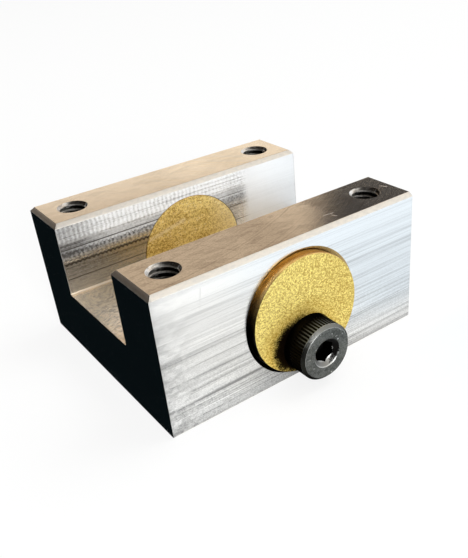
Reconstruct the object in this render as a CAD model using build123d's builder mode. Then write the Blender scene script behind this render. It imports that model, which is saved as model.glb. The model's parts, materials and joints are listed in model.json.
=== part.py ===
"""Linear guide carriage: a milled block that rides astride a rail, with a round wear pad in each wall.

X runs along the rail, Y across it and Z up. The origin is the middle of the base.
The near side is -Y and the far side is +Y. All sizes are in millimetres.
"""

import os
from math import radians, tan

from build123d import *

# Rail and the running clearance on each side of it
rail_width = 15.0
rail_clearance = 0.2

# Block
block_length = 37.0
block_width = 32.0
block_height = 18.0
top_edge_break = 0.5
base_edge_break = 0.15

# Metal left around the pads and their screws, from the base up
metal_below_pad = 1.1
metal_above_pad = 1.9
metal_over_tap = 1.55

# Tapped mounting holes in the tops of the walls, drawn at the thread's major diameter
mount_thread = 4.0
mount_depth = 9.0
drill_point_angle = 118.0

# Round wear pads, each in a flat-bottomed bore from the outside of its wall
pad_clearance = 0.05
pad_proud = 0.95
pad_edge_break = 0.1
bore_edge_break = 0.45
near_pad_offset = 0.3

# Socket cap screws that hold the pads, threads drawn at the major diameter
screw_thread = 4.0
thread_engagement = 3.35
thread_clearance = 0.02
tap_runout = 0.7
tip_chamfer = 0.5
shank_clearance = 0.15

# Screw head
head_diameter = 7.2
head_height = 4.0
head_margin = 0.05
head_sink = 0.65
head_pocket_clearance = 0.1
head_chamfer = 0.38
head_back_chamfer = 0.15
socket_flats = 2.5
socket_turn = 30.0
socket_chamfer = 0.625
socket_depth = 2.2

# Knurl on the front part of the head
knurl_count = 54
knurl_depth = 0.13
knurl_start = 1.75

# Sizes that follow
channel_width = rail_width + 2 * rail_clearance
wall_thickness = (block_width - channel_width) / 2
mount_spacing_x = block_length - wall_thickness
mount_spacing_y = block_width - wall_thickness
pad_diameter = block_height - metal_above_pad - metal_below_pad
pad_height = metal_below_pad + pad_diameter / 2
pad_length = wall_thickness + pad_proud
pad_face_y = block_width / 2 + pad_proud
head_seat_y = pad_face_y - head_sink
screw_height = metal_below_pad + head_margin + head_diameter / 2
screw_length = pad_length - head_sink + thread_engagement
floor_thickness = screw_height + screw_thread / 2 + metal_over_tap
sides = {"near": (-1, near_pad_offset), "far": (1, 0.0)}

os.makedirs("parts", exist_ok=True)


def side_plane(side, x, z, y):
    """Plane square to Y at the distance y from the middle, facing out of the block, with its Y up."""
    return Plane(origin=(x, side * y, z), x_dir=(-side, 0, 0), z_dir=(0, side, 0))


def point_length(radius):
    """Length of the cone that a twist drill leaves at the bottom of a hole."""
    return radius / tan(radians(drill_point_angle / 2))


def turned_cut(mouth, outline):
    """Cut the outline, given as (radius, depth) points, turned about the normal of the mouth plane."""
    half_plane = Plane(origin=mouth.origin, x_dir=mouth.x_dir, z_dir=mouth.y_dir)
    with BuildSketch(half_plane) as profile:
        with BuildLine():
            Polyline(outline, close=True)
        make_face()
    revolve(profile.sketch, axis=Axis(mouth.origin, mouth.z_dir), mode=Mode.SUBTRACT)


def tapped_hole(mouth, radius, depth):
    """Cut a blind tapped hole with a drill point."""
    turned_cut(mouth, [(0, 0), (radius, 0), (radius, depth), (0, depth + point_length(radius))])


# Guide body: one milled block with the rail channel, the pad bores and the tapped holes
with BuildPart() as guide_body:
    with BuildSketch(Plane.YZ):
        with Locations((0, block_height / 2)):
            Rectangle(block_width, block_height)
        with Locations((0, (floor_thickness + block_height) / 2)):
            Rectangle(channel_width, block_height - floor_thickness, mode=Mode.SUBTRACT)
    extrude(amount=block_length / 2, both=True)
    wall_tops = guide_body.faces().filter_by(Axis.Z).group_by(Axis.Z)[-1]
    chamfer(wall_tops.edges(), top_edge_break)
    base = guide_body.faces().sort_by(Axis.Z)[0]
    chamfer(base.edges(), base_edge_break)

    for row in (-1, 1):
        for end in (-1, 1):
            mouth = Plane(origin=(end * mount_spacing_x / 2, row * mount_spacing_y / 2, block_height))
            tapped_hole(mouth, mount_thread / 2, mount_depth)

    for side, pad_x in sides.values():
        bore_radius = pad_diameter / 2 + pad_clearance
        bore_outline = [
            (0, 0),
            (bore_radius + bore_edge_break, 0),
            (bore_radius, bore_edge_break),
            (bore_radius, wall_thickness),
            (0, wall_thickness),
        ]
        turned_cut(side_plane(side, pad_x, pad_height, block_width / 2), bore_outline)
        tap_mouth = side_plane(side, pad_x, screw_height, channel_width / 2)
        tap_radius = screw_thread / 2 + thread_clearance
        tapped_hole(tap_mouth, tap_radius, thread_engagement + tap_runout)
guide_body.part.label = "guide_body"
export_step(guide_body.part, "parts/guide_body.step")

# Wear pads: bronze slugs, flush with the channel wall inside and proud of the block outside
for name, (side, pad_x) in sides.items():
    head_seat = side_plane(side, pad_x, screw_height, head_seat_y)
    with BuildPart() as wear_pad:
        with BuildSketch(side_plane(side, pad_x, pad_height, pad_face_y)):
            Circle(pad_diameter / 2)
        extrude(amount=-pad_length)
        chamfer(wear_pad.edges().filter_by(GeomType.CIRCLE), pad_edge_break)
        with BuildSketch(head_seat):
            Circle(head_diameter / 2 + head_pocket_clearance)
        extrude(amount=head_sink, mode=Mode.SUBTRACT)
        with BuildSketch(head_seat):
            Circle(screw_thread / 2 + shank_clearance)
        extrude(amount=-pad_length, mode=Mode.SUBTRACT)
    wear_pad.part.label = f"{name}_wear_pad"
    export_step(wear_pad.part, f"parts/{name}_wear_pad.step")

# Pad screws: socket cap screws with knurled heads, each seated in the pocket of its pad
for name, (side, pad_x) in sides.items():
    head_seat = side_plane(side, pad_x, screw_height, head_seat_y)
    head_front = head_seat.offset(head_height)
    outward = Axis((0, 0, 0), (0, side, 0))
    with BuildPart() as pad_screw:
        with BuildSketch(head_seat):
            Circle(head_diameter / 2)
        extrude(amount=head_height)
        rims = pad_screw.edges().filter_by(GeomType.CIRCLE).sort_by(outward)
        chamfer(rims[-1], head_chamfer)
        chamfer(rims[0], head_back_chamfer)

        with BuildSketch(head_seat.offset(knurl_start)):
            with PolarLocations(head_diameter / 2, knurl_count):
                RegularPolygon(knurl_depth, 4)
        extrude(amount=head_height - knurl_start, mode=Mode.SUBTRACT)

        with BuildSketch(head_front):
            RegularPolygon(socket_flats / 2, 6, major_radius=False, rotation=socket_turn)
        extrude(amount=-socket_depth, mode=Mode.SUBTRACT)
        socket_mouth = socket_flats / 2 + socket_chamfer
        turned_cut(head_front, [(0, 0), (socket_mouth, 0), (0, socket_mouth)])
        drill_point = [(0, 0), (socket_flats / 2, 0), (0, point_length(socket_flats / 2))]
        turned_cut(head_front.offset(-socket_depth), drill_point)

        with BuildSketch(head_seat):
            Circle(screw_thread / 2)
        extrude(amount=-screw_length)
        tip = pad_screw.edges().filter_by(GeomType.CIRCLE).sort_by(outward)[0]
        chamfer(tip, tip_chamfer)
    pad_screw.part.label = f"{name}_pad_screw"
    export_step(pad_screw.part, f"parts/{name}_pad_screw.step")
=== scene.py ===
"""Looks of the linear guide carriage: finer meshes of its five pieces, their finishes, light and camera.

The part's frame has X along the rail, Y across it and Z up. The near side is -Y, the far side +Y.
"""
import json
from math import cos, hypot, pi, radians, sin, tan

import bmesh
import bpy
from mathutils import Matrix, Vector


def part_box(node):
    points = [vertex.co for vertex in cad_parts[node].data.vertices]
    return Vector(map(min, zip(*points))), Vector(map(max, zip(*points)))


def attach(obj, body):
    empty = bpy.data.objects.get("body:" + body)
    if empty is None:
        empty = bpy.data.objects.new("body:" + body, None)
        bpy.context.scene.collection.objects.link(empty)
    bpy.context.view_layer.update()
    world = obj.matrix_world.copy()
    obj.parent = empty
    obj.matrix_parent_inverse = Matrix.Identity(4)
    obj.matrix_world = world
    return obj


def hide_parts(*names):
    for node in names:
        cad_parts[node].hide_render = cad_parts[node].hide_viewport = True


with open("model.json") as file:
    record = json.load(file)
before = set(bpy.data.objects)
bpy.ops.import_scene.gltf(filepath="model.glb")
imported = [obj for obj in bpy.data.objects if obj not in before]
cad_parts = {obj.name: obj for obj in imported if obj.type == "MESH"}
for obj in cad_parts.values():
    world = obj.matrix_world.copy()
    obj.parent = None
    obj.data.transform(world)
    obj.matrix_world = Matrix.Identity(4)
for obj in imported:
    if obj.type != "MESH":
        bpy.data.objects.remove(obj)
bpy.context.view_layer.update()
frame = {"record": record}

MM = 0.001

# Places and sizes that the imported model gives
block_low, block_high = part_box("guide_body")
pad_low, pad_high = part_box("near_wear_pad")
mounts = {mount["name"]: mount for mount in frame["record"]["mounts"]}
hole_pattern = mounts["top_holes"]["dims"]
hole_x, hole_y = (hole_pattern[key] * MM / 2 for key in ("spacing_x_mm", "spacing_y_mm"))
block_top = block_high.z
wall_face = block_high.y
channel_half = -pad_high.y
pad_radius = (pad_high.z - pad_low.z) / 2
pad_height = (pad_high.z + pad_low.z) / 2
pad_face = -pad_low.y
sides = {"near": (-1, sum(corner.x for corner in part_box("near_wear_pad")) / 2),
         "far": (1, sum(corner.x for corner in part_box("far_wear_pad")) / 2)}

# Body, as the part's source has it
CHANNEL_FLOOR = 8.3 * MM
TOP_CHAMFER = 0.5 * MM
NEAR_END_BREAK = 0.1 * MM
BASE_CHAMFER = 0.15 * MM
EDGE_ROUNDING = 0.045 * MM
CORNER_FILLET = 0.22 * MM
ROUNDING_STEPS = 3

# Threads: (radius, pitch), and the 60 degree forms' depths and flats as shares of the pitch
MOUNT_THREAD = (2.0 * MM, 0.7 * MM)
SCREW_THREAD = (2.0 * MM, 0.7 * MM)
INTERNAL_DEPTH = 0.5413
EXTERNAL_DEPTH = 0.6134
ROOT_END = 0.25
CREST_START = 0.5625
CREST_END = 0.6875
ROD_COVER = 0.001 * MM
THREAD_CLEARANCE = 0.02 * MM
TURN_SEGMENTS = 72
MOUNT_DEPTH = 9 * MM
MOUNT_MOUTH = 1.95 * MM
MOUTH_LIP = 0.3 * MM
DRILL_POINT = radians(118) / 2

# Pads and their bores
PAD_CLEARANCE = 0.05 * MM
BORE_CHAMFER = 0.45 * MM
PAD_EDGE = 0.1 * MM
ROUND_SEGMENTS = 256

# Pad screws
SCREW_HEIGHT = 4.75 * MM
HEAD_RADIUS = 3.6 * MM
HEAD_LENGTH = 4 * MM
HEAD_SINK = 0.65 * MM
HEAD_POCKET_CLEARANCE = 0.1 * MM
HEAD_CHAMFER = 0.38 * MM
HEAD_BACK_CHAMFER = 0.15 * MM
HEAD_ROUNDING = 0.06 * MM
SHANK_CLEARANCE = 0.15 * MM
SHANK_REACH = 3.35 * MM
TAP_RUNOUT = 0.7 * MM
TIP_CHAMFER = 0.5 * MM
PLAIN_SHANK = 1.2 * MM
HEXAGON = 6
SOCKET_FLATS = 2.5 * MM
SOCKET_CHAMFER = 0.625 * MM
SOCKET_TURN = Matrix.Rotation(radians(30), 4, "Z")
SOCKET_DEPTH = 2.2 * MM
DRILLED_SHARE = 0.98
KNURL_COUNT = 54
KNURL_DEPTH = 0.13 * MM
KNURL_START = 1.75 * MM
KNURL_RUNOUT = 0.2 * MM
KNURL_END = 0.1 * MM
KNURL_ROOT = 0.015 * MM
KNURL_COVER = 0.04 * MM

# Overlap of cutting tools, and what counts as the same place or direction
CLEAR = 1 * MM
SAME_PLACE = 0.001 * MM
SAME_LEVEL = 0.0001 * MM
SMOOTH_ANGLE = radians(32)
SQUARE = 0.999
FACING = 0.98
EDGE_ON = 0.05
ALONG_BLOCK = 1e-4


def linked(name, data):
    """A new object of the data, in the scene."""
    made = bpy.data.objects.new(name, data)
    bpy.context.scene.collection.objects.link(made)
    return made


def mesh_object(name, bm):
    """A linked object made of the bmesh, with its normals facing out."""
    bmesh.ops.recalc_face_normals(bm, faces=bm.faces)
    mesh = bpy.data.meshes.new(name)
    bm.to_mesh(mesh)
    bm.free()
    return linked(name, mesh)


def apply_modifiers(piece):
    """Put the modified mesh in the place of the piece's own."""
    bpy.context.view_layer.update()
    evaluated = piece.evaluated_get(bpy.context.evaluated_depsgraph_get())
    mesh = bpy.data.meshes.new_from_object(evaluated)
    piece.modifiers.clear()
    piece.data = mesh
    mesh.name = piece.name


def combine(piece, tools, operation):
    """Boolean of the piece with each tool in turn. The tools are used up."""
    for tool in tools:
        modifier = piece.modifiers.new("boolean", "BOOLEAN")
        modifier.operation = operation
        modifier.solver = "MANIFOLD"
        modifier.object = tool
    apply_modifiers(piece)
    for tool in tools:
        bpy.data.objects.remove(tool)
    return piece


def copies(tool, places):
    """Copies of the tool's mesh at the places. The tool itself is used up."""
    made = []
    for place in places:
        copy = linked(tool.name, tool.data.copy())
        copy.data.transform(place)
        made.append(copy)
    bpy.data.objects.remove(tool)
    return made


def side_frame(side, x, y, z):
    """Frame whose Z points out of the near (-1) or far (1) side and whose Y points up."""
    axes = Matrix(((-side, 0, 0), (0, 0, side), (0, 1, 0)))
    return Matrix.Translation((x, side * y, z)) @ axes.to_4x4()


def rounded(outline, radius):
    """The open outline with an arc of the radius in place of each corner between its ends."""
    points = [Vector(p) for p in outline]
    result = [points[0]]
    for before, corner, after in zip(points, points[1:], points[2:]):
        back, ahead = (before - corner).normalized(), (after - corner).normalized()
        half = back.angle(ahead) / 2
        reach = min(radius / tan(half), (before - corner).length / 2, (after - corner).length / 2)
        start, end = corner + back * reach, corner + ahead * reach
        for step in range(ROUNDING_STEPS + 1):
            t = step / ROUNDING_STEPS
            result.append(start * (1 - t) ** 2 + corner * 2 * t * (1 - t) + end * t ** 2)
    result.append(points[-1])
    return [tuple(p) for p in result]


def lathe(name, outline, segments=ROUND_SEGMENTS, place=Matrix()):
    """Closed solid turned about local Z from (radius, height) points; the ends lie on the axis."""
    bm = bmesh.new()
    rings = []
    for radius, height in outline:
        if radius == 0:
            rings.append([bm.verts.new((0, 0, height))])
        else:
            angles = [2 * pi * i / segments for i in range(segments)]
            rings.append([bm.verts.new((radius * cos(a), radius * sin(a), height)) for a in angles])
    for first, second in zip(rings, rings[1:]):
        for i in range(segments):
            k = (i + 1) % segments
            if len(first) == 1:
                bm.faces.new((first[0], second[i], second[k]))
            elif len(second) == 1:
                bm.faces.new((first[i], second[0], first[k]))
            else:
                bm.faces.new((first[i], second[i], second[k], first[k]))
    bm.transform(place)
    return mesh_object(name, bm)


def threaded_rod(name, radius, pitch, depth, length):
    """Closed right-handed threaded rod from local Z = 0 down to -length, with flat crests and roots."""
    profile = [(0, radius - depth), (ROOT_END, radius - depth), (CREST_START, radius), (CREST_END, radius)]
    points = len(profile)
    rows = points * round(length / pitch)
    bm = bmesh.new()
    grid = {}

    def vertex(row, column):
        if column == TURN_SEGMENTS:
            row, column = row + points, 0
        if (row, column) not in grid:
            share, r = profile[row % points]
            angle = 2 * pi * column / TURN_SEGMENTS
            height = pitch * (row // points + share + column / TURN_SEGMENTS) - length - pitch
            grid[row, column] = bm.verts.new((r * cos(angle), r * sin(angle), height))
        return grid[row, column]

    for row in range(rows):
        for column in range(TURN_SEGMENTS):
            corners = [(row, column), (row, column + 1), (row + 1, column + 1), (row + 1, column)]
            bm.faces.new([vertex(*corner) for corner in corners])
    for row, tip in ((0, -length - pitch), (rows, 0)):
        turn = [vertex(row, column) for column in range(TURN_SEGMENTS + 1)]
        step = [vertex(row + back, 0) for back in (3, 2, 1)]
        loop = turn + step
        centre = bm.verts.new((0, 0, tip))
        for i, v in enumerate(loop):
            bm.faces.new((v, loop[(i + 1) % len(loop)], centre))
    return mesh_object(name, bm)


def finish_piece(piece, node):
    """Shading and body of a finished piece that stands for a node of the model, whose own mesh is hidden.

    Large faces keep their own normals, so that only the rounded edges shade as round.
    """
    piece.data.shade_smooth()
    piece.data.set_sharp_from_angle(angle=SMOOTH_ANGLE)
    modifier = piece.modifiers.new("flat_faces", "WEIGHTED_NORMAL")
    modifier.weight = 100
    modifier.keep_sharp = True
    apply_modifiers(piece)
    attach(piece, "root")
    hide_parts(node)


def block_blank():
    """The U profile with its chamfers, rounded edges and the cutter's fillet in the channel corners."""
    half = channel_half
    profile = [
        (block_low.y, block_low.z), (block_high.y, block_low.z), (block_high.y, block_top),
        (half, block_top), (half, CHANNEL_FLOOR), (-half, CHANNEL_FLOOR), (-half, block_top),
        (block_low.y, block_top),
    ]
    bm = bmesh.new()
    ends = [[bm.verts.new((x, y, z)) for y, z in profile] for x in (block_low.x, block_high.x)]
    bm.faces.new(ends[0])
    bm.faces.new(reversed(ends[1]))
    for i in range(len(profile)):
        k = (i + 1) % len(profile)
        bm.faces.new((ends[0][k], ends[0][i], ends[1][i], ends[1][k]))
    bmesh.ops.recalc_face_normals(bm, faces=bm.faces)

    def bevel(edges, size, segments):
        bmesh.ops.bevel(bm, geom=edges, offset=size, segments=segments, profile=0.5,
                        affect="EDGES", offset_type="OFFSET")

    def on_level(edge, height):
        return all(abs(v.co.z - height) < SAME_LEVEL for v in edge.verts)

    def lengthwise(edge):
        return abs(edge.verts[0].co.x - edge.verts[1].co.x) > CLEAR

    corners = [e for e in bm.edges if on_level(e, CHANNEL_FLOOR) and lengthwise(e)]
    bevel(corners, CORNER_FILLET, ROUNDING_STEPS)
    bevel([e for e in bm.edges if on_level(e, block_top)], TOP_CHAMFER, 1)
    bevel([e for e in bm.edges if on_level(e, block_low.z)], BASE_CHAMFER, 1)
    near_right_end = block_high.x - 2 * TOP_CHAMFER
    for v in bm.verts:
        if v.co.y < 0 and abs(v.co.z - block_top) < SAME_LEVEL and v.co.x > near_right_end:
            v.co.x = block_high.x - NEAR_END_BREAK
    sharp = [e for e in bm.edges if e.is_convex and e.calc_face_angle(0) > SMOOTH_ANGLE]
    bevel(sharp, EDGE_ROUNDING, 2)
    return mesh_object("milled_body", bm)


def mouth_outline(radius, chamfer, below):
    """(radius, height) points of a chamfered hole's mouth with rounded edges, then the points below."""
    line = [(radius + chamfer + CLEAR, 0), (radius + chamfer, 0), (radius, -chamfer)] + below
    line = rounded(line, EDGE_ROUNDING)
    return [(0, CLEAR), (line[1][0], CLEAR)] + line[1:]


def tapped_hole_tool(name, thread, depth, mouth, run_out):
    """Cutter of a tapped hole along local -Z: mouth cone, drilled core with its point, real thread turns."""
    major, pitch = thread
    core = major - INTERNAL_DEPTH * pitch
    bottom = depth + run_out
    point = bottom + core / tan(DRILL_POINT)
    drilled = lathe(name, [
        (0, CLEAR), (mouth, CLEAR), (mouth, 0), (core, core - mouth),
        (core, -bottom), (0, -point),
    ], TURN_SEGMENTS)
    thread_tool = threaded_rod(name + "_thread", major, pitch, INTERNAL_DEPTH * pitch, depth)
    return combine(drilled, [thread_tool], "UNION")


def body():
    """The milled block with its pad bores and tapped holes."""
    piece = block_blank()
    top_places = [
        Matrix.Translation((x * hole_x, y * hole_y, block_top)) for x in (-1, 1) for y in (-1, 1)
    ]
    mount_tool = tapped_hole_tool("mount_tool", MOUNT_THREAD, MOUNT_DEPTH, MOUNT_MOUTH, 0)
    tools = copies(mount_tool, top_places)

    bore_depth = wall_face - channel_half
    bore = pad_radius + PAD_CLEARANCE
    bore_outline = mouth_outline(bore, BORE_CHAMFER, [(bore, -bore_depth)]) + [(0, -bore_depth)]
    tools += copies(lathe("bore_tool", bore_outline),
                    [side_frame(side, x, wall_face, pad_height) for side, x in sides.values()])
    loose_thread = (SCREW_THREAD[0] + THREAD_CLEARANCE, SCREW_THREAD[1])
    tap_tool = tapped_hole_tool("tap_tool", loose_thread, SHANK_REACH, loose_thread[0], TAP_RUNOUT)
    tools += copies(tap_tool, [side_frame(side, x, channel_half, SCREW_HEIGHT) for side, x in sides.values()])
    return combine(piece, tools, "DIFFERENCE")


def wear_pad(name, side, x):
    """Bronze slug with the pocket and the hole for its screw."""
    length = pad_face - channel_half
    outline = [(0, 0), (pad_radius, 0), (pad_radius, -length), (0, -length)]
    place = side_frame(side, x, pad_face, pad_height)
    piece = lathe(name, rounded(outline, PAD_EDGE), ROUND_SEGMENTS, place)
    pocket, hole = HEAD_RADIUS + HEAD_POCKET_CLEARANCE, SCREW_THREAD[0] + SHANK_CLEARANCE
    tool_outline = [(0, CLEAR), (pocket, CLEAR), (pocket, -HEAD_SINK), (hole, -HEAD_SINK),
                    (hole, -length - CLEAR), (0, -length - CLEAR)]
    tool_place = side_frame(side, x, pad_face, SCREW_HEIGHT)
    return combine(piece, [lathe("pocket_tool", tool_outline, ROUND_SEGMENTS // 2, tool_place)], "DIFFERENCE")


def knurl_tool():
    """Ring of V grooves along the front of the head, each with a sloping run-out at the back."""
    bm = bmesh.new()
    outside = HEAD_RADIUS + KNURL_COVER
    stations = (
        (KNURL_START - KNURL_RUNOUT, 0),
        (KNURL_START, KNURL_DEPTH),
        (HEAD_LENGTH - HEAD_CHAMFER - KNURL_END, KNURL_DEPTH),
        (HEAD_LENGTH - HEAD_CHAMFER, 0),
    )
    for i in range(KNURL_COUNT):
        turn = Matrix.Rotation(2 * pi * i / KNURL_COUNT, 4, "Z")
        rows = []
        for height, depth in stations:
            root = HEAD_RADIUS - depth
            mouth = outside - root + KNURL_ROOT
            section = [(outside, -mouth), (root, -KNURL_ROOT), (root, KNURL_ROOT), (outside, mouth)]
            rows.append([bm.verts.new(turn @ Vector((x, y, height))) for x, y in section])
        for first, second in zip(rows, rows[1:]):
            for j in range(len(first)):
                k = (j + 1) % len(first)
                bm.faces.new((first[j], first[k], second[k], second[j]))
        bm.faces.new(rows[0])
        bm.faces.new(reversed(rows[-1]))
    return mesh_object("knurl_tool", bm)


def pad_screw(name, side, x):
    """Socket cap screw: knurled head with rounded edges, hexagon socket with a chamfered mouth, threads."""
    head = [
        (0, 0), (HEAD_RADIUS - HEAD_BACK_CHAMFER, 0), (HEAD_RADIUS, HEAD_BACK_CHAMFER),
        (HEAD_RADIUS, HEAD_LENGTH - HEAD_CHAMFER), (HEAD_RADIUS - HEAD_CHAMFER, HEAD_LENGTH),
        (0, HEAD_LENGTH),
    ]
    piece = lathe(name, rounded(head, HEAD_ROUNDING))
    half = SOCKET_FLATS / 2
    corner = half / cos(pi / HEXAGON)
    above, bottom = HEAD_LENGTH + CLEAR, HEAD_LENGTH - SOCKET_DEPTH
    socket_outline = [(0, above), (corner, above), (corner, bottom), (0, bottom)]
    socket = lathe("socket_tool", socket_outline, HEXAGON, SOCKET_TURN)
    mouth = half + SOCKET_CHAMFER
    chamfer = lathe("mouth_tool", [(0, above), (mouth + CLEAR, above), (0, HEAD_LENGTH - mouth)])
    drilled = half * DRILLED_SHARE
    point = lathe("point_tool", [
        (0, bottom + half), (drilled, bottom + half), (drilled, bottom),
        (0, bottom - half / tan(DRILL_POINT)),
    ])
    combine(piece, [knurl_tool(), socket, chamfer, point], "DIFFERENCE")

    major, pitch = SCREW_THREAD
    length = (pad_face - HEAD_SINK) - channel_half + SHANK_REACH
    shank_outline = [(0, HEAD_BACK_CHAMFER), (major, HEAD_BACK_CHAMFER), (major, TIP_CHAMFER - length),
                     (major - TIP_CHAMFER, -length), (0, -length)]
    shank = lathe("shank", shank_outline, TURN_SEGMENTS)
    rod = threaded_rod("rod", major + ROD_COVER, pitch, EXTERNAL_DEPTH * pitch, length + pitch)
    core = lathe("core", [(0, HEAD_BACK_CHAMFER + CLEAR), (major + CLEAR, HEAD_BACK_CHAMFER + CLEAR),
                          (major + CLEAR, -PLAIN_SHANK), (0, -PLAIN_SHANK)], TURN_SEGMENTS)
    combine(rod, [core], "UNION")
    combine(shank, [rod], "INTERSECT")
    combine(piece, [shank], "UNION")
    piece.data.transform(side_frame(side, x, pad_face - HEAD_SINK, SCREW_HEIGHT))
    return piece


def node_tree(owner):
    """The empty node tree of a material or a world."""
    owner.use_nodes = True
    owner.node_tree.nodes.clear()
    return owner.node_tree


def new_node(tree, kind, values, **settings):
    """A node with its settings, and with each input linked or set. A colour gets its alpha."""
    made = tree.nodes.new(kind)
    for key, value in settings.items():
        setattr(made, key, value)
    for key, value in values.items():
        socket = made.inputs[key]
        if isinstance(value, bpy.types.NodeSocket):
            tree.links.new(value, socket)
        else:
            socket.default_value = (*value, 1) if socket.type == "RGBA" else value
    return made


def show(tree, shader, output="ShaderNodeOutputMaterial"):
    """Join the shader to the output of its material or world."""
    new_node(tree, output, {"Surface": shader.outputs[0]})


class Finish:
    """A node material, put together by short calls. Positions in it are in millimetres."""

    def __init__(self, name):
        self.material = bpy.data.materials.new(name)
        self.tree = node_tree(self.material)
        place = self.node("ShaderNodeTexCoord", {}).outputs["Object"]
        self.place = self.scaled(place, 1 / MM, 1 / MM, 1 / MM)
        self.x, self.y, self.z = self.node("ShaderNodeSeparateXYZ", {0: self.place}).outputs

    def node(self, kind, values, **settings):
        return new_node(self.tree, kind, values, **settings)

    def vector(self, operation, a, b, output="Vector"):
        return self.node("ShaderNodeVectorMath", {0: a, 1: b}, operation=operation).outputs[output]

    def scaled(self, vector, x, y, z):
        return self.vector("MULTIPLY", vector, (x, y, z))

    def joined(self, x, y, z):
        return self.node("ShaderNodeCombineXYZ", {0: x, 1: y, 2: z}).outputs[0]

    def math(self, operation, a, b=0.0):
        return self.node("ShaderNodeMath", {0: a, 1: b}, operation=operation).outputs[0]

    def times(self, first, *rest):
        for value in rest:
            first = self.math("MULTIPLY", first, value)
        return first

    def plus(self, first, *rest):
        for value in rest:
            first = self.math("ADD", first, value)
        return first

    def minus(self, first, second):
        return self.math("SUBTRACT", first, second)

    def reach(self, vector, point=(0, 0, 0)):
        """Distance of the vector from the point."""
        return self.vector("DISTANCE", vector, point, "Value")

    def noise(self, x, y, z, detail=4.0, roughness=0.55, place=None):
        """Noise with so many cells a millimetre along each axis."""
        values = {"Vector": self.scaled(place or self.place, x, y, z), "Scale": 1.0, "Detail": detail,
                  "Roughness": roughness}
        return self.node("ShaderNodeTexNoise", values).outputs[0]

    def map(self, value, low, high, new_low=0.0, new_high=1.0, kind="LINEAR"):
        """The value from between low and high put between the new ones, and held there outside."""
        values = {"Value": value, "From Min": low, "From Max": high, "To Min": new_low, "To Max": new_high}
        return self.node("ShaderNodeMapRange", values, interpolation_type=kind).outputs[0]

    def ease(self, value, *ends):
        """As map, with a soft start and end."""
        return self.map(value, *ends, kind="SMOOTHSTEP")

    def grains(self, cells):
        """Cells of so many a millimetre: a random value for each, and the distance from its middle."""
        values = {"Vector": self.scaled(self.place, cells, cells, cells), "Scale": 1.0}
        cell = self.node("ShaderNodeTexVoronoi", values)
        tone = self.node("ShaderNodeSeparateXYZ", {0: cell.outputs["Color"]}).outputs[0]
        return tone, cell.outputs["Distance"]

    def band(self, value, low, high, soft):
        """1 between low and high, fading to 0 over the soft width on both sides."""
        rise = self.ease(value, low - soft, low)
        return self.times(rise, self.ease(value, high, high + soft, 1.0, 0.0))

    def scratch(self, start, end, width):
        """1 along the line between two points, fading to 0 over its half width."""
        line = Vector(end) - Vector(start)
        away = self.vector("SUBTRACT", self.place, start)
        share = self.vector("DOT_PRODUCT", away, line / line.length_squared, "Value")
        values = {0: line, "Scale": self.map(share, 0.0, 1.0)}
        foot = self.node("ShaderNodeVectorMath", values, operation="SCALE").outputs[0]
        return self.map(self.reach(away, foot), 0.0, width, 1.0, 0.0)

    def mix(self, share, first, second):
        """Colour from the first to the second as the share goes from 0 to 1."""
        return self.node("ShaderNodeMix", {0: share, 6: first, 7: second}, data_type="RGBA").outputs[2]

    def bump(self, height, depth):
        """Normal of a relief whose height goes from 0 to 1 over the depth in millimetres."""
        values = {"Height": height, "Strength": 1.0, "Distance": depth * MM}
        return self.node("ShaderNodeBump", values).outputs[0]

    def metal(self, colour, roughness, normal, edge=(1, 1, 1)):
        """The surface shader. The edge colour is its gloss at a grazing view."""
        values = {"Base Color": colour, "Metallic": 1.0, "Roughness": roughness, "Specular Tint": edge,
                  "Normal": normal}
        show(self.tree, self.node("ShaderNodeBsdfPrincipled", values))
        return self.material


# Colours of the metals, of what lies on them, and of the light and shade painted on them
ALUMINIUM = (0.96, 0.96, 0.955)
ALUMINIUM_BRIGHT = (1.0, 0.995, 0.98)
ALUMINIUM_WALL = (0.96, 0.98, 1.0)
ALUMINIUM_WARM = (0.5, 0.47, 0.44)
ALUMINIUM_DULL = (0.62, 0.63, 0.64)
ALUMINIUM_DARK = (0.3, 0.3, 0.3)
# Tan of the channel floor, a painted warm reflection
ALUMINIUM_PAINTED_TAN = (1.0, 0.84, 0.64)
# Painted golden sheen on the far top
ALUMINIUM_PAINTED_GOLD_SHEEN = (1.0, 0.93, 0.74)
# Warm tint of the fillets, a painted reflection
ALUMINIUM_CORNER_PAINTED_WARM = (0.95, 0.82, 0.66)
ALUMINIUM_CUT = (0.86, 0.83, 0.79)
# Dark of grooves and marks, also used as painted shade
GROOVE_AND_SHADE = (0.12, 0.115, 0.11)
THREAD = (0.86, 0.84, 0.8)
# Black of painted shade
PAINTED_SHADE_BLACK = (0.012, 0.01, 0.008)
BRONZE_LIGHT = (1.0, 0.88, 0.33)
BRONZE_DARK = (0.52, 0.35, 0.08)
BRONZE_EDGE = (0.8, 0.7, 0.45)
# Painted shade and shadow on the bronze, brown and black
BRONZE_PAINTED_SHADE_BROWN = (0.62, 0.36, 0.02)
BRONZE_PAINTED_SHADE_BLACK = (0.006, 0.003, 0.0015)
# Deeper tone of the pads' inner faces, painted shade and reflection
BRONZE_INNER_PAINTED_TONE = (1.0, 0.83, 0.34)
BRONZE_INNER_PAINTED_TONE_DARK = (0.46, 0.28, 0.05)
BRONZE_TURNED = (0.95, 0.64, 0.25)
BRONZE_TURNED_DARK = (0.6, 0.36, 0.12)
# Bright flecks, and the painted highlights on the pads' inner faces
BRONZE_FLECK_AND_HIGHLIGHT = (1.0, 0.88, 0.55)
OXIDE = (0.007, 0.0065, 0.0065)
OXIDE_EDGE = (0.13, 0.13, 0.135)
# Painted highlight on the knurl crests
OXIDE_CREST_HIGHLIGHT = (0.2, 0.24, 0.4)
OXIDE_FACE = (0.06, 0.064, 0.06)
OXIDE_FACE_LIGHT = (0.15, 0.155, 0.148)
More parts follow.
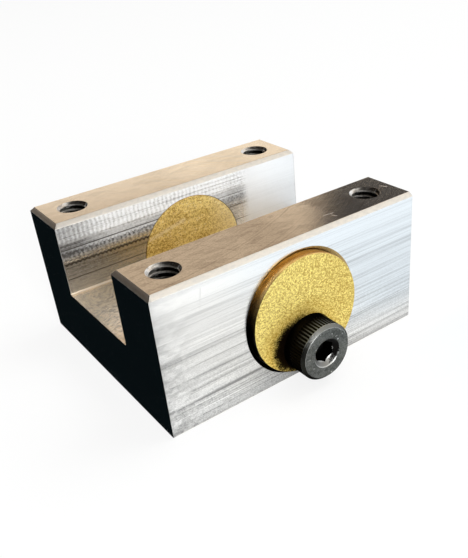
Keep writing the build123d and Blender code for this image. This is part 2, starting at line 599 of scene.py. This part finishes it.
# Grey of worn oxide that also serves as painted highlight, and black of painted shade, on the head chamfers
OXIDE_WORN_AND_LIT = (0.21, 0.215, 0.205)
OXIDE_CHAMFER_SHADE = (0.024, 0.024, 0.021)
# Painted highlight in the socket mouths, and bare steel that also serves as painted glints
SOCKET_HIGHLIGHT = (0.26, 0.26, 0.25)
STEEL_WORN_AND_GLINT = (0.6, 0.61, 0.6)

# In the finishes a number is a place or size in millimetres, cells a millimetre, or a share
CHATTER_PITCH = 0.6
# Radii of the painted highlight along the socket's hexagon edge
LIT_HEXAGON_EDGE = (1.42, 1.3)


def right_of_screw(finish):
    return finish.minus(finish.x, sides["near"][1] / MM)


def above_screw(finish):
    return finish.minus(finish.z, SCREW_HEIGHT / MM)


def from_screw(finish, shift=0):
    """Distance from the axis of the near screw, or from a line that lies at the shift along X beside it."""
    centre = (sides["near"][1] / MM + shift, 0, SCREW_HEIGHT / MM)
    return finish.reach(finish.scaled(finish.place, 1, 0, 1), centre)


def side_finish():
    """Outer sides: streaks of the cutter that end in smudges at the left, grainy, and darker low down as
    painted shade.
    """
    finish = Finish("aluminium_sides")
    bands = finish.noise(0.008, 1, 0.7, detail=2)
    lines = finish.noise(0.012, 1, 1.9, detail=3, roughness=0.7)
    fine = finish.noise(0.03, 1, 5, detail=3, roughness=0.75)
    hair = finish.noise(0.01, 1, 3.3, detail=1)
    grain, _ = finish.grains(8)
    smudge = finish.noise(0.5, 1, 0.9, detail=2)
    left = finish.ease(finish.x, -13, -17)
    streaked = finish.map(left, 0, 1, 1, 0.4)
    # Painted shade: the marks darken towards the bottom, less so on the right
    low = finish.times(finish.map(finish.z, 2, 16.5, 1.22, 0.4), finish.map(finish.x, 2, 12, 1, 0.7))
    dark = finish.plus(
        finish.ease(bands, 0.44, 0.6, 0, 0.2),
        finish.times(finish.ease(lines, 0.52, 0.62, 0, 0.42), streaked),
        finish.times(finish.ease(fine, 0.5, 0.62, 0, 0.36), streaked),
        finish.times(finish.map(grain, 0.3, 1, 0, 0.3), finish.map(finish.z, 2, 13, 1, 0.25)),
        finish.times(left, finish.ease(smudge, 0.45, 0.55, 0, 0.25)),
        finish.ease(hair, 0.62, 0.7, 0, -0.4),
    )
    # Painted shade: a little darker below the upper band
    dark = finish.plus(finish.times(dark, low), finish.map(finish.z, 13.5, 16.5, 0.15, 0))
    dark = finish.math("MAXIMUM", dark, 0)
    scratch = finish.scratch((-12.6, -16, 16.8), (-12.95, -16, 14.6), 0.08)
    dark = finish.math("MAXIMUM", dark, finish.times(scratch, 0.4))
    colour = finish.mix(dark, ALUMINIUM, ALUMINIUM_DARK)
    roughness = finish.map(bands, 0.3, 0.7, 0.17, 0.26)
    return finish.metal(colour, roughness, finish.bump(finish.plus(lines, fine), 0.003))


def cutter_arcs(finish, centre, cells):
    """Random arcs round the centre, as a face cutter leaves them."""
    place = finish.joined(finish.reach(finish.place, centre), 0, 0)
    return finish.noise(cells, 0, 0, detail=3, place=place)


def top_finish():
    """Tops of the walls: fine grain, faint arcs of the face cutter, duller patches, lighter and darker
    stretches along the block that are painted reflection, and a few scratches.

    The far top has a painted golden sheen along some of the arcs.
    """
    finish = Finish("aluminium_tops")
    grain = finish.noise(5, 5, 5, detail=3, roughness=0.7)
    patches = finish.noise(0.35, 0.8, 0.35, detail=5, roughness=0.65)
    arcs = cutter_arcs(finish, (-22, 40, 18), 3)
    crossing = cutter_arcs(finish, (30, 30, 18), 2.4)
    dark = finish.plus(
        finish.map(grain, 0.42, 0.62, 0, 0.4),
        finish.ease(arcs, 0.48, 0.66, 0, 0.35),
        finish.ease(crossing, 0.5, 0.68, 0, 0.25),
        finish.ease(patches, 0.46, 0.62, 0, 0.4),
        # Painted reflection: lighter and darker stretches along the block
        finish.times(finish.band(finish.x, -3.6, 0, 1), 0.25),
        finish.times(finish.band(finish.x, 2.5, 6, 1.5), -0.25),
        finish.times(finish.band(finish.x, 8, 11, 1.5), 0.3),
    )
    dark = finish.times(dark, finish.map(finish.y, -8, 8, 0.85, 0.35))
    bright = finish.plus(
        finish.scratch((6.2, -13.4, 18), (7.6, -13.6, 18), 0.05),
        finish.scratch((7, -13.9, 18), (7.3, -14.6, 18), 0.05),
        finish.scratch((17.2, -11.6, 18), (17.6, -12.4, 18), 0.1),
    )
    dark = finish.plus(dark, finish.times(finish.scratch((-8.5, -9.5, 18), (-6.2, -13.8, 18), 0.08), 0.5))
    colour = finish.mix(dark, ALUMINIUM_BRIGHT, ALUMINIUM_WARM)
    # Painted sheen: golden along some arcs, mostly on the far top
    gold = finish.times(
        finish.ease(crossing, 0.46, 0.58), finish.map(finish.y, 0, 8, 0, 0.5),
        finish.map(finish.x, -14, 6),
    )
    colour = finish.mix(gold, colour, ALUMINIUM_PAINTED_GOLD_SHEEN)
    pitted = finish.times(grain, finish.map(finish.x, 5.5, 8.5, 2, 2.9))
    relief = finish.plus(pitted, finish.times(arcs, 0.6), finish.times(bright, 4))
    roughness = finish.plus(finish.map(patches, 0.35, 0.65, 0.06, 0.12), finish.times(bright, 0.4))
    return finish.metal(colour, roughness, finish.bump(relief, 0.004))


def channel_wall_finish():
    """Inner sides of the walls: bands left by the end mill, with chatter marks, painted shade below the
    marks, and smooth at the right.
    """
    finish = Finish("aluminium_channel_walls")
    grain = finish.noise(3.6, 1, 3.6, detail=2, roughness=0.7)
    streaks = finish.noise(0.05, 1, 4.5, roughness=0.75)
    sway = finish.times(finish.noise(0.25, 1, 1.2, detail=2), 5)
    teeth = finish.math("SINE", finish.plus(finish.times(finish.x, 2 * pi / CHATTER_PITCH), sway))
    teeth = finish.map(teeth, -1, 1)
    teeth = finish.times(teeth, finish.map(finish.x, -1, 6, 1, 0.25))
    fading = finish.ease(finish.x, 8.6, 10.2, 1, 0)
    top_band = finish.ease(finish.z, 14.9, 15.7)
    rough = finish.times(finish.ease(finish.z, 12.9, 13.9), fading)
    end = finish.ease(finish.x, -11, -18, 0, 0.4)
    ragged = finish.plus(finish.z, finish.times(teeth, 0.22))
    marks = finish.band(ragged, 12.75, 14.15, 0.12)
    upper_line = finish.band(finish.z, 14.42, 14.48, 0.08)
    lower_line = finish.band(ragged, 12.5, 12.7, 0.1)
    lowest_line = finish.band(finish.z, 10.4, 10.46, 0.06)
    # Painted shade of the near wall: darker below the marks, less so on the right
    shade_below_marks = finish.ease(finish.z, 12.4, 12.8, 0.4, 0)
    dark = finish.plus(
        finish.times(top_band, finish.map(teeth, 0, 1, -0.1, 0.12)),
        finish.times(rough, finish.plus(finish.ease(finish.z, 12.8, 16, 0.35, 0), end)),
        finish.times(finish.band(finish.x, 7, 9.6, 1.5), 0.1),
        finish.times(finish.band(finish.z, 14.8, 15.1, 0.3), 0.15),
        finish.times(upper_line, finish.map(finish.x, 0, 7, 0.7, 0.35)),
        finish.times(marks, finish.map(teeth, 0.2, 0.9, 0.25, 0.5), finish.map(grain, 0.35, 0.6, 0.4, 1)),
        finish.times(lower_line, finish.map(finish.x, 0, 7, 0.6, 0.3)),
        finish.times(lowest_line, 0.5),
        finish.times(shade_below_marks, finish.map(finish.x, 3, 8, 1, 0.2)),
        finish.ease(streaks, 0.5, 0.66, 0, 0.35),
        finish.map(grain, 0.45, 0.7, 0, 0.2),
    )
    smooth_part = finish.minus(1, fading)
    dark = finish.plus(
        finish.times(dark, finish.plus(fading, 0.1)), finish.times(smooth_part, 0.05),
        finish.map(finish.x, 12, 18, 0, 0.11), finish.map(finish.x, 18.3, 18.45, 0, 0.25),
    )
    dark = finish.math("MAXIMUM", dark, 0)
    colour = finish.mix(dark, ALUMINIUM_WALL, GROOVE_AND_SHADE)
    roughness = finish.plus(0.26, finish.times(rough, 0.46), finish.times(smooth_part, 0.32))
    rough_share = finish.plus(top_band, finish.times(marks, 0.5), 0.12)
    relief = finish.plus(grain, finish.times(teeth, 0.12), finish.times(streaks, 0.4))
    relief = finish.times(relief, rough_share)
    return finish.metal(colour, roughness, finish.bump(finish.times(relief, finish.plus(fading, 0.1)), 0.08))


def channel_floor_finish():
    """Floor of the channel: streaks along it and crossing arcs of the end mill, with a coarse grain, in a tan
    that is a painted warm reflection.
    """
    finish = Finish("aluminium_channel_floor")
    streaks = finish.noise(0.06, 3, 1, detail=5, roughness=0.7)
    grain = finish.noise(2, 2.6, 2, detail=3, roughness=0.75)
    arcs = cutter_arcs(finish, (-30, 14, 8), 5)
    crossing = cutter_arcs(finish, (-8, -24, 8), 4)
    dark = finish.plus(
        finish.ease(streaks, 0.45, 0.65, -0.05, 0.25),
        finish.map(grain, 0.4, 0.6, -0.45, 0.38),
        finish.ease(arcs, 0.48, 0.6, 0, 0.35),
        finish.ease(crossing, 0.5, 0.6, 0, 0.3),
        finish.ease(crossing, 0.44, 0.36, 0, -0.35),
    )
    # The tan base is a painted warm reflection
    colour = finish.mix(finish.math("MAXIMUM", dark, 0), ALUMINIUM_PAINTED_TAN, ALUMINIUM_DARK)
    relief = finish.plus(streaks, grain, finish.times(arcs, 0.3), finish.times(crossing, 0.3))
    return finish.metal(colour, 0.24, finish.bump(relief, 0.022))


def end_finish():
    """Faced ends."""
    finish = Finish("aluminium_ends")
    grain = finish.noise(3, 0.15, 6)
    colour = finish.mix(finish.map(grain, 0.4, 0.65, 0, 0.3), ALUMINIUM, ALUMINIUM_DULL)
    return finish.metal(colour, 0.16, finish.bump(grain, 0.003))


def cut_finish():
    """Chamfers, bores and the base. The chamfer at the left end is a little darker, as painted shade."""
    finish = Finish("aluminium_cuts")
    grain = finish.noise(1.5, 1.5, 4)
    colour = finish.mix(finish.map(grain, 0.4, 0.65, 0, 0.4), ALUMINIUM_CUT, ALUMINIUM_DULL)
    chamfer_start = (block_low.x + TOP_CHAMFER) / MM
    chamfer_middle = (block_low.x + TOP_CHAMFER / 2) / MM
    # Painted shade on the chamfer at the left end
    left_end = finish.map(finish.x, chamfer_start, chamfer_middle, 0, 0.3)
    colour = finish.mix(left_end, colour, GROOVE_AND_SHADE)
    return finish.metal(colour, 0.38, finish.bump(grain, 0.003))


def corner_finish():
    """Fillets in the channel's corners, in a warm tint that is a painted reflection."""
    finish = Finish("aluminium_corners")
    grain = finish.noise(0.3, 3, 3)
    colour = finish.mix(finish.map(grain, 0.4, 0.65, 0, 0.5), ALUMINIUM_CORNER_PAINTED_WARM, ALUMINIUM_DULL)
    return finish.metal(colour, 0.36, finish.bump(grain, 0.003))


def hole_place(finish):
    """Distance to the right of the nearest tapped hole's axis, and distance from that axis."""
    right = finish.minus(finish.x, finish.times(finish.math("SIGN", finish.x), hole_x / MM))
    back = finish.minus(finish.y, finish.times(finish.math("SIGN", finish.y), hole_y / MM))
    return right, finish.reach(finish.joined(right, back, 0))


def mouth_finish():
    """Mouths of the tapped holes, torn where the thread runs out, and with painted shade on the right."""
    finish = Finish("aluminium_hole_mouths")
    torn = finish.noise(1.6, 1.6, 5, detail=3, roughness=0.7)
    right, _ = hole_place(finish)
    # Painted shade on the right side of each mouth
    dark = finish.plus(finish.map(torn, 0.44, 0.6, 0, 0.5), finish.map(right, -0.6, 0.8, 0, 0.8))
    colour = finish.mix(dark, ALUMINIUM, GROOVE_AND_SHADE)
    return finish.metal(colour, 0.32, finish.bump(torn, 0.05))


def thread_finish():
    """Threads of the tapped holes, with painted shade in their roots, on the right and deeper down."""
    finish = Finish("aluminium_threads")
    grain = finish.noise(3, 3, 3, detail=3)
    right, radius = hole_place(finish)
    core = (MOUNT_THREAD[0] - INTERNAL_DEPTH * MOUNT_THREAD[1]) / MM
    # Painted shade: darker in the roots, on the right and deeper in the hole
    dark = finish.plus(
        finish.map(radius, core + 0.02, core + 0.12, 0, 0.7),
        finish.map(right, -1, 1.2, -0.3, 0.3),
        finish.map(grain, 0.4, 0.65, 0, 0.3),
        finish.map(finish.z, block_top / MM - 1, block_top / MM - 2.4, 0, 0.4),
    )
    colour = finish.mix(dark, THREAD, PAINTED_SHADE_BLACK)
    return finish.metal(colour, 0.44, finish.bump(grain, 0.004))


def bronze_finish():
    """Sintered bronze: grains of many tones with dark pores between them, and a painted shadow round the
    screw head, reaching further to its left.
    """
    finish = Finish("sintered_bronze")
    tone, middle = finish.grains(7.2)
    fine, _ = finish.grains(11)
    patches = finish.noise(0.35, 0.35, 0.35, detail=3)
    tone = finish.plus(finish.times(tone, 0.55), finish.times(fine, 0.45))
    light = finish.plus(finish.map(tone, 0.28, 0.72, 0.03, 1.03), finish.map(middle, 0.25, 0.75, 0.16, -0.2))
    # Painted shade: the pad face lighter on the left and darker on the right
    light = finish.plus(light, finish.map(finish.x, -5, 7, 0.11, -0.2))
    colour = finish.mix(light, BRONZE_DARK, BRONZE_LIGHT)
    # Painted shadow of the screw head: brown, then black next to the head, reaching further to its left
    ragged = finish.plus(from_screw(finish, -1.3), finish.times(tone, 0.9), finish.times(patches, 2))
    colour = finish.mix(finish.ease(ragged, 4.9, 8.4, 0.5, 0), colour, BRONZE_PAINTED_SHADE_BROWN)
    colour = finish.mix(finish.ease(ragged, 4.6, 5.75, 1, 0), colour, BRONZE_PAINTED_SHADE_BLACK)
    roughness = finish.map(patches, 0.35, 0.65, 0.56, 0.64)
    return finish.metal(colour, roughness, finish.bump(finish.plus(tone, middle), 0.018), BRONZE_EDGE)


def bronze_inner_finish():
    """Inner faces of the pads: a deeper warm tone that is painted shade and reflection, paler at the right as
    a painted highlight, with a painted bright line and bright flecks.
    """
    finish = Finish("inner_bronze_painted_tone")
    tone, middle = finish.grains(7)
    along = finish.noise(0.25, 1, 2.5, roughness=0.7)
    light = finish.plus(finish.map(tone, 0.1, 0.8, 0.18, 1.05), finish.map(along, 0.4, 0.65, -0.2, 0.3))
    colour = finish.mix(light, BRONZE_INNER_PAINTED_TONE_DARK, BRONZE_INNER_PAINTED_TONE)
    # Painted highlight: a bright line across the face
    line = finish.scratch((-6.3, 7.7, 11.9), (-1, 7.7, 13.1), 0.4)
    wear_and_highlight = finish.times(line, finish.map(tone, 0.1, 0.5, 0.3, 1))
    flecks = finish.times(finish.map(tone, 0.9, 0.94, 0, 0.9), finish.map(along, 0.46, 0.56))
    # Painted highlight: paler towards the right
    pale = finish.map(finish.x, 2.5, 7.5, 0, 0.6)
    colour = finish.mix(finish.plus(wear_and_highlight, flecks, pale), colour, BRONZE_FLECK_AND_HIGHLIGHT)
    return finish.metal(colour, 0.5, finish.bump(finish.plus(middle, along), 0.02))


def painted_shade_round_pad(finish, colour, shade_colour=PAINTED_SHADE_BLACK):
    """The colour with painted shade round a pad, black at its left and lower side."""
    left = finish.times(right_of_screw(finish), -0.8 / (pad_radius / MM))
    low = finish.times(finish.minus(finish.z, pad_height / MM), -0.6 / (pad_radius / MM))
    blotches = finish.noise(0.8, 0.8, 0.8, detail=3)
    share = finish.plus(left, low, finish.times(blotches, 0.3))
    return finish.mix(finish.ease(share, 0.35, 1), colour, shade_colour)


def bronze_turned_finish():
    """The pads' turned outsides, with painted shade at their left and lower side."""
    finish = Finish("turned_bronze")
    turning = finish.noise(0.6, 9, 0.6, detail=3)
    colour = finish.mix(finish.map(turning, 0.4, 0.65), BRONZE_TURNED, BRONZE_TURNED_DARK)
    return finish.metal(painted_shade_round_pad(finish, colour, BRONZE_PAINTED_SHADE_BLACK), 0.22, finish.bump(turning, 0.004))


def bore_edge_finish():
    """The chamfered edges of the pad bores, with painted shade at their left and lower side."""
    finish = Finish("aluminium_bore_edges")
    grain = finish.noise(3, 3, 3, detail=3)
    return finish.metal(painted_shade_round_pad(finish, ALUMINIUM_DULL), 0.22, finish.bump(grain, 0.003))


def oxide_finish():
    """Black oxide on the screws' shanks and knurls, with a painted highlight on the upper crests near the
    front.
    """
    finish = Finish("black_oxide")
    grain = finish.noise(4, 4, 4)
    crest = finish.map(from_screw(finish), HEAD_RADIUS / MM - 0.025, HEAD_RADIUS / MM - 0.005)
    high = finish.ease(above_screw(finish), 1.2, 4.2)
    front = finish.map(finish.math("ABSOLUTE", finish.y), pad_face / MM + 1.2, pad_face / MM + 3)
    # Painted highlight on the upper crests near the front
    colour = finish.mix(finish.times(crest, high, front), OXIDE, OXIDE_CREST_HIGHLIGHT)
    return finish.metal(colour, 0.4, finish.bump(grain, 0.005), OXIDE_EDGE)


def oxide_face_finish():
    """Faces of the screw heads: grey where the oxide is rubbed, finely mottled, with a few bright chips."""
    finish = Finish("rubbed_oxide")
    tone, _ = finish.grains(7)
    patches = finish.noise(0.9, 0.9, 0.9, roughness=0.65)
    share = finish.plus(finish.map(tone, 0, 1, -0.15, 0.75), finish.map(patches, 0.35, 0.65, -0.2, 0.5))
    chips = finish.map(tone, 0.988, 0.994, 0, 0.8)
    colour = finish.mix(chips, finish.mix(share, OXIDE_FACE, OXIDE_FACE_LIGHT), STEEL_WORN_AND_GLINT)
    return finish.metal(colour, 0.34, finish.bump(tone, 0.003))


def head_chamfer_finish():
    """Chamfers of the screw heads, pale in patches, more so above and on the right as a painted highlight,
    and black below as painted shade.
    """
    finish = Finish("worn_and_lit_chamfer")
    tone, _ = finish.grains(6)
    patches = finish.noise(0.8, 0.8, 0.8, detail=3)
    high = finish.times(above_screw(finish), 0.3)
    right = finish.times(right_of_screw(finish), 0.16)
    # Painted highlight above and on the right, painted shade below
    share = finish.plus(high, right, finish.times(tone, 0.3), finish.times(patches, 0.6))
    colour = finish.mix(finish.ease(share, 0.55, 1.4), OXIDE_CHAMFER_SHADE, OXIDE_WORN_AND_LIT)
    return finish.metal(colour, 0.42, finish.bump(tone, 0.004), OXIDE_FACE)


def worn_edge_finish():
    """Edges of the screw heads: worn to bare steel in places, grey and lit above as a painted highlight, and
    black below as painted shade.
    """
    finish = Finish("worn_and_shaded_oxide")
    wear_and_highlight = finish.noise(2.6, 2.6, 2.6, roughness=0.7)
    # Painted shade: black below
    low = finish.map(above_screw(finish), -2.5, 1.5, 0.9, 0)
    outer = finish.map(from_screw(finish), HEAD_RADIUS / MM - 0.25, HEAD_RADIUS / MM - 0.1)
    below = finish.map(above_screw(finish), 0.5, 3, 0.95, 0)
    low = finish.math("MAXIMUM", low, finish.times(outer, below))
    worn = finish.mix(finish.map(wear_and_highlight, 0.34, 0.56), OXIDE_WORN_AND_LIT, STEEL_WORN_AND_GLINT)
    colour = finish.mix(low, worn, OXIDE)
    return finish.metal(colour, 0.34, finish.bump(wear_and_highlight, 0.01))


def socket_mouth_finish():
    """Mouths of the sockets: black, with a painted highlight in rough patches on the lower left and along
    their edges there.
    """
    finish = Finish("socket_mouths")
    wear_and_highlight = finish.noise(3.6, 3.6, 3.6, roughness=0.75)
    radius = from_screw(finish)
    left = finish.times(right_of_screw(finish), -0.45)
    low = finish.times(above_screw(finish), -0.5)
    rim = (SOCKET_FLATS / 2 + SOCKET_CHAMFER) / MM
    edges = finish.plus(finish.map(radius, rim - 0.12, rim - 0.03), finish.map(radius, *LIT_HEXAGON_EDGE))
    # Painted highlight on the lower left, and along the edges there
    share = finish.plus(left, low, finish.times(wear_and_highlight, 2.4), -0.4)
    colour = finish.mix(finish.ease(share, 0.9, 1.5), OXIDE, SOCKET_HIGHLIGHT)
    bright = finish.times(edges, finish.map(finish.plus(share, wear_and_highlight), 0.8, 1.2))
    colour = finish.mix(bright, colour, STEEL_WORN_AND_GLINT)
    return finish.metal(colour, 0.42, finish.bump(wear_and_highlight, 0.02))


def assign(piece, materials, choose):
    """Materials of the piece, by the number that choose gives for each face."""
    piece.data.materials.clear()
    for material in materials:
        piece.data.materials.append(material)
    for face in piece.data.polygons:
        face.material_index = choose(face.normal, face.center)


def aluminium_regions(piece):
    """Each face of the block gets the finish of the cut that made it."""
    finishes = [
        side_finish(), top_finish(), channel_wall_finish(), channel_floor_finish(), end_finish(),
        cut_finish(), thread_finish(), bore_edge_finish(), mouth_finish(), corner_finish(),
    ]
    outer, top, wall, floor, end, cut, thread, bore_edge, mouth, corner = range(len(finishes))
    fillet_top = CHANNEL_FLOOR + CORNER_FILLET
    bore_mouth = wall_face - BORE_CHAMFER

    def choose(normal, place):
        if abs(normal.y) > SQUARE and place.z > block_low.z + BASE_CHAMFER:
            if abs(place.y) > wall_face - SAME_PLACE:
                return outer
            if abs(abs(place.y) - channel_half) < SAME_PLACE:
                return wall
        elif normal.z > SQUARE and abs(place.z - block_top) < SAME_PLACE:
            return top
        elif normal.z > SQUARE and abs(place.z - CHANNEL_FLOOR) < SAME_PLACE:
            return floor
        elif abs(normal.x) > SQUARE and abs(abs(place.x) - block_high.x) < SAME_PLACE:
            return end
        elif normal.z > EDGE_ON and abs(place.y) < channel_half and place.z < fillet_top:
            return corner
        elif hypot(abs(place.x) - hole_x, abs(place.y) - hole_y) < MOUNT_THREAD[0]:
            return thread if place.z < block_top - MOUTH_LIP else mouth
        elif abs(normal.y) > EDGE_ON and abs(place.y) > bore_mouth and abs(normal.x) > ALONG_BLOCK:
            return bore_edge
        return cut

    assign(piece, finishes, choose)


def pad_regions(piece, materials):
    """A sintered face outside, one inside in a painted deeper tone, and a turned outside."""
    outer, inner, turned = range(3)

    def choose(normal, place):
        if abs(normal.y) < FACING:
            return turned
        return outer if normal.y * place.y > 0 else inner

    assign(piece, materials, choose)


def screw_regions(piece, materials, x):
    """Black knurl and shank, rubbed head face, worn head edges and socket mouth."""
    black, rubbed, worn, chamfered, mouth = range(5)

    def choose(normal, place):
        height = abs(place.y) - (pad_face - HEAD_SINK)
        radius = hypot(place.x - x, place.z - SCREW_HEIGHT)
        facing = normal.y * place.y / abs(place.y)
        if height < HEAD_LENGTH - SOCKET_CHAMFER or facing < EDGE_ON:
            return black
        if facing > FACING:
            return rubbed
        if radius < SOCKET_FLATS / 2 + SOCKET_CHAMFER:
            return mouth
        return chamfered if abs(facing - cos(pi / 4)) < EDGE_ON else worn

    assign(piece, materials, choose)


# Floor, sky and lamps, in metres, and the floor's painted cool part in millimetres
WHITE = (1, 1, 1)
FLOOR_REACH = 3.0
FLOOR_COLOUR = (0.845, 0.85, 0.84)
# Painted cool light on the floor in front on the right
FLOOR_PAINTED_COOL = (0.71, 0.78, 0.835)
COOL_FROM_LEFT = (-2.0, 22.0)
COOL_FROM_BACK = (-16.5, -22.5)
SEEN_SHARE = 0.8
MIRRORED_SHARE = 0.08
SKY_DIFFUSE = 0.68
LAMP_DISTANCE = 0.8

# Cards that only gloss sees: their distance, edges and colours
CARD_DISTANCE = 0.6
CARD_STEPS = 10
CARD_TOP = 62
CARD_FOOT = 4
CORNER_AZIMUTH = 40.6
TAN_WALL = (0.53, 0.4, 0.275)
CREAM = (1.0, 0.84, 0.65)
PALE_WALL = (0.88, 0.83, 0.73)
CEILING = (0.16, 0.13, 0.1)
SHADE = (0.06, 0.047, 0.036)
RIGHT_SHADE = (0.075, 0.068, 0.062)
BLACK = (0.002, 0.004, 0.005)
FLOOR_CARD_REACH = 0.5
FLOOR_CARD_GAP = 0.05 * MM
FLOOR_CARD_LIFT = 0.02 * MM
FLOOR_CARD_SLANT = 0.37

# The photograph's camera, fitted to the block's corners, holes and pads
CAMERA_PLACE = Vector((-41.94, -71.23, 51.62)) * MM
CAMERA_HEADING = 35.44
CAMERA_PITCH = -30.887
CAMERA_ROLL = -4.289
CAMERA_LENS = 44.97
CAMERA_SHIFT = (-0.0842, 0.0406)


def direction(azimuth, elevation):
    """Unit vector by azimuth from +Y towards +X and elevation, in degrees."""
    turn, rise = radians(azimuth), radians(elevation)
    return Vector((sin(turn) * cos(rise), cos(turn) * cos(rise), sin(rise)))


def glow(name, colour):
    made = bpy.data.materials.new(name)
    tree = node_tree(made)
    show(tree, new_node(tree, "ShaderNodeEmission", {"Color": colour}))
    return made


def staged(thing, material):
    thing.data.materials.append(material)


def gloss_only(thing, colour):
    """Stage a glowing card that nothing but gloss sees."""
    staged(thing, glow(thing.name, colour))
    thing.visible_camera = False
    thing.visible_diffuse = False
    thing.visible_transmission = False
    thing.visible_shadow = False
    thing.visible_volume_scatter = False


def card(name, azimuths, elevations, colour):
    """Studio card: part of a sphere round the object, between two azimuths and two elevations."""
    def between(ends, step):
        return ends[0] + (ends[1] - ends[0]) * step / CARD_STEPS

    bm = bmesh.new()
    rows = []
    for i in range(CARD_STEPS + 1):
        rays = [direction(between(azimuths, j), between(elevations, i)) for j in range(CARD_STEPS + 1)]
        rows.append([bm.verts.new(ray * CARD_DISTANCE) for ray in rays])
    for low, high in zip(rows, rows[1:]):
        for j in range(CARD_STEPS):
            bm.faces.new((low[j], low[j + 1], high[j + 1], high[j]))
    gloss_only(mesh_object(name, bm), colour)


def sheet_mesh(name, corners):
    bm = bmesh.new()
    bm.faces.new([bm.verts.new(corner) for corner in corners])
    return mesh_object(name, bm)


def by_ray(tree, seen, mirrored):
    """The seen value for camera rays, the mirrored one for gloss and clear glass, 0 for soft light."""
    path = tree.nodes.new("ShaderNodeLightPath")
    values = {"Is Camera Ray": seen, "Is Glossy Ray": mirrored, "Is Transmission Ray": mirrored}
    total = 0.0
    for ray, value in values.items():
        parts = {0: path.outputs[ray], 1: value, 2: total}
        added = new_node(tree, "ShaderNodeMath", parts, operation="MULTIPLY_ADD", use_clamp=True)
        total = added.outputs[0]
    return total


def pale_floor():
    """Plain pale floor, lifted towards white where it is seen, with the object's shadow kept.

    It turns a little cooler in front on the right, a painted cool light that shows in the near side of the
    block.
    """
    finish = Finish("floor")
    cool = finish.times(
        finish.ease(finish.x, *COOL_FROM_LEFT),
        finish.ease(finish.y, *COOL_FROM_BACK),
    )
    colour = finish.mix(cool, FLOOR_COLOUR, FLOOR_PAINTED_COOL)
    diffuse = finish.node("ShaderNodeBsdfDiffuse", {"Color": colour})
    emission = finish.node("ShaderNodeEmission", {"Color": WHITE})
    share = by_ray(finish.tree, SEEN_SHARE, MIRRORED_SHARE)
    shaders = {0: share, 1: diffuse.outputs[0], 2: emission.outputs[0]}
    show(finish.tree, finish.node("ShaderNodeMixShader", shaders))
    reach = FLOOR_REACH
    corners = [(-reach, -reach, 0), (reach, -reach, 0), (reach, reach, 0), (-reach, reach, 0)]
    staged(sheet_mesh("floor", corners), finish.material)


def white_world():
    """White sky, full where it is seen or mirrored and weaker as soft light."""
    world = bpy.data.worlds.new("studio")
    bpy.context.scene.world = world
    tree = node_tree(world)
    values = {"Value": by_ray(tree, 1.0, 1.0), "To Min": SKY_DIFFUSE, "To Max": 1.0}
    strength = new_node(tree, "ShaderNodeMapRange", values).outputs[0]
    background = new_node(tree, "ShaderNodeBackground", {"Color": WHITE, "Strength": strength})
    show(tree, background, "ShaderNodeOutputWorld")


def soft_lamp(name, azimuth, elevation, size, energy):
    """Square soft lamp that faces the object, by azimuth from +Y and elevation in degrees."""
    light = bpy.data.lights.new(name, "AREA")
    light.size = size
    light.energy = energy
    lamp = linked(name, light)
    lamp.location = LAMP_DISTANCE * direction(azimuth, elevation)
    lamp.rotation_euler = (-lamp.location).to_track_quat("-Z", "Y").to_euler()


def photo_camera():
    """Camera that looks along its heading and pitch, rolled about that line."""
    forward = direction(CAMERA_HEADING, CAMERA_PITCH)
    level = direction(CAMERA_HEADING + 90, 0)
    roll = radians(CAMERA_ROLL)
    right = level * cos(roll) + level.cross(forward) * sin(roll)
    axes = Matrix((right, right.cross(forward), -forward)).transposed()
    data = bpy.data.cameras.new("photo_camera")
    data.sensor_width = 36
    data.lens = CAMERA_LENS
    data.shift_x, data.shift_y = CAMERA_SHIFT
    data.clip_start = CLEAR
    camera = linked("photo_camera", data)
    camera.matrix_world = Matrix.Translation(CAMERA_PLACE) @ axes.to_4x4()
    bpy.context.scene.camera = camera


def left_floor_card():
    """Dark card flat on the floor left of the block, with a front edge that slants to the right."""
    left, front, reach = block_low.x - FLOOR_CARD_GAP, block_low.y, FLOOR_CARD_REACH
    slanted = left + FLOOR_CARD_SLANT * (reach + front)
    corners = [(-reach, -reach), (slanted, -reach), (left, front), (left, reach), (-reach, reach)]
    sheet = sheet_mesh("left_floor_card", [(x, y, FLOOR_CARD_LIFT) for x, y in corners])
    gloss_only(sheet, BLACK)


def studio():
    """Floor, sky, lamps, and the cards that give the metal something to mirror."""
    pale_floor()
    white_world()
    soft_lamp("key", azimuth=100, elevation=60, size=0.4, energy=2.2)
    soft_lamp("window", azimuth=192, elevation=20, size=0.25, energy=5.2)
    card("back_card", (-15, CORNER_AZIMUTH), (21.5, CARD_TOP), TAN_WALL)
    card("low_back_card", (-15, CORNER_AZIMUTH), (CARD_FOOT, 21.5), CREAM)
    card("low_right_card", (CORNER_AZIMUTH, 50), (CARD_FOOT, 17), CREAM)
    card("right_card", (CORNER_AZIMUTH, 62), (17, CARD_TOP), RIGHT_SHADE)
    card("right_back_card", (62, 105), (28, CARD_TOP), TAN_WALL)
    card("front_card", (105, 190), (28, CARD_TOP), PALE_WALL)
    card("ceiling_card", (0, 360), (CARD_TOP, 89.9), CEILING)
    card("left_back_card", (-70, -15), (CARD_FOOT, CARD_TOP), SHADE)
    card("left_card", (-170, -70), (-2, CARD_TOP), BLACK)
    left_floor_card()


milled = body()
aluminium_regions(milled)
finish_piece(milled, "guide_body")
bronze = [bronze_finish(), bronze_inner_finish(), bronze_turned_finish()]
oxide = [
    oxide_finish(), oxide_face_finish(), worn_edge_finish(), head_chamfer_finish(),
    socket_mouth_finish(),
]
for name, (side, x) in sides.items():
    pad = wear_pad(f"{name}_pad", side, x)
    pad_regions(pad, bronze)
    finish_piece(pad, f"{name}_wear_pad")
    screw = pad_screw(f"{name}_screw", side, x)
    screw_regions(screw, oxide, x)
    finish_piece(screw, f"{name}_pad_screw")
studio()
photo_camera()
bpy.context.scene.view_settings.view_transform = "Standard"
